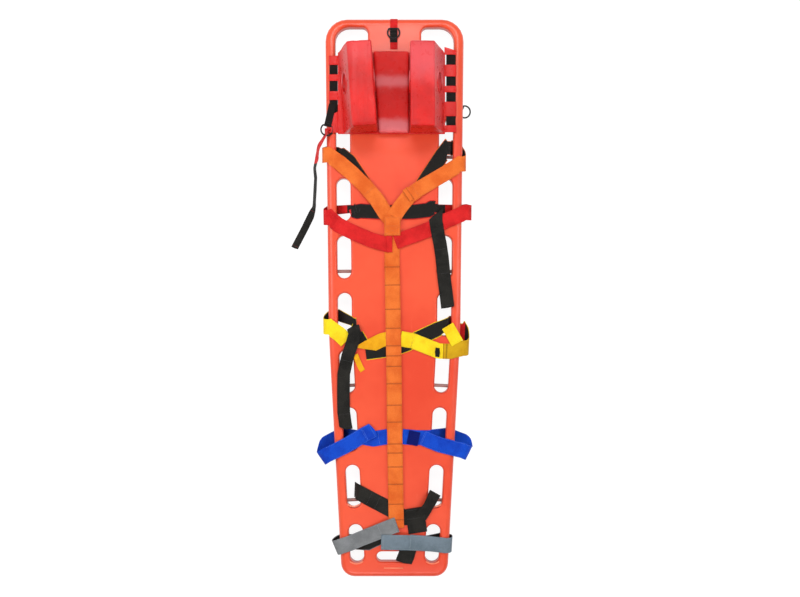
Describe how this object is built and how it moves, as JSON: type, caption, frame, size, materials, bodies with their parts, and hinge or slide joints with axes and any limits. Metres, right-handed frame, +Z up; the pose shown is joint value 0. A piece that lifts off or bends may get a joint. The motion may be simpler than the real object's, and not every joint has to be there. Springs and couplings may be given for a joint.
{
  "type": "spine board",
  "caption": "Flat moulded stretcher for carrying an injured person, with side handholds, a colour-coded webbing harness and a head immobiliser with two lift-off padded blocks.",
  "frame": {"origin": "middle of the flat underside of the centre runner, which lies on the floor", "axes": "+Y towards the head end, +Z up out of the patient's side, +X to the right seen from above with the head end up"},
  "size_m": [0.6015, 1.8424, 0.2257],
  "materials": {
    "board": "satin moulded polyethylene",
    "pins": "smooth",
    "coated_red": "glossy coated vinyl",
    "coated_red_pad": "glossy coated vinyl",
    "black_tape": "woven tape",
    "hook_tape": "hook and loop",
    "hook_tape_blue": "hook and loop",
    "ring_metal": "black coated steel",
    "webbing_orange": "woven webbing",
    "webbing_red": "woven webbing",
    "webbing_yellow": "woven webbing",
    "webbing_blue": "woven webbing",
    "webbing_grey": "woven webbing",
    "webbing_black": "woven webbing"
  },
  "bodies": {
    "board": {"board_shell": "board", "clip_pins": "pins", "immobiliser_base": "coated_red", "side_strip_left": "black_tape", "side_strip_right": "black_tape", "head_pad": "coated_red_pad", "top_strap": "webbing_red", "top_ring_tab": "black_tape", "ring_tab_left": "black_tape", "ring_tab_right": "black_tape", "head_strap_red": "webbing_red", "head_strap_black": "webbing_black", "spine_strap": "webbing_orange", "yoke_neck": "webbing_orange", "yoke_arm_right": "webbing_orange", "shoulder_strap_left": "webbing_orange", "shoulder_tape_left": "webbing_black", "shoulder_strap_right": "webbing_orange", "shoulder_tape_right": "webbing_black", "chest_strap_left": "webbing_red", "chest_tape_left": "webbing_black", "chest_strap_right": "webbing_red", "chest_tape_right": "webbing_black", "chest_tail": "webbing_black", "chest_keeper": "webbing_red", "waist_leg_left": "webbing_yellow", "waist_loop_left": "webbing_yellow", "waist_tape_left": "webbing_black", "waist_tail_left": "webbing_black", "waist_flap_left": "webbing_yellow", "waist_strap_right": "webbing_yellow", "waist_tape_right": "webbing_black", "waist_keeper_right": "webbing_yellow", "thigh_strap_left": "webbing_blue", "thigh_strap_right": "webbing_blue", "thigh_patch_right": "hook_tape_blue", "shin_strap_left": "webbing_grey", "shin_strap_right": "webbing_grey", "foot_band": "webbing_black", "foot_band_block": "webbing_black", "foot_tail": "webbing_black"},
    "block_left": {"head_block_left": "coated_red", "block_fastener_left": "hook_tape"},
    "block_right": {"head_block_right": "coated_red", "block_fastener_right": "hook_tape"},
    "ring_left_body": {"ring_left": "ring_metal"},
    "ring_right_body": {"ring_right": "ring_metal"},
    "top_ring_body": {"top_ring": "ring_metal"}
  },
  "joints": [
    {"name": "block_left_lift", "type": "slide", "parent": "board", "child": "block_left", "axis": [0, 0, 1], "range_m": [0, 0.18]},
    {"name": "block_right_lift", "type": "slide", "parent": "board", "child": "block_right", "axis": [0, 0, 1], "range_m": [0, 0.18]},
    {"name": "ring_left_swing", "type": "hinge", "parent": "board", "child": "ring_left_body", "pos_m": [-0.2195, 0.5655, 0.068], "axis": [-0.9744, 0.225, 0], "range_deg": [0, 110]},
    {"name": "ring_right_swing", "type": "hinge", "parent": "board", "child": "ring_right_body", "pos_m": [0.224, 0.627, 0.0145], "axis": [-0.4384, -0.8988, 0], "range_deg": [-10, 15]},
    {"name": "top_ring_swing", "type": "hinge", "parent": "board", "child": "top_ring_body", "pos_m": [-0.003, 0.884, 0.0698], "axis": [-1, 0, 0], "range_deg": [0, 120]}
  ]
}
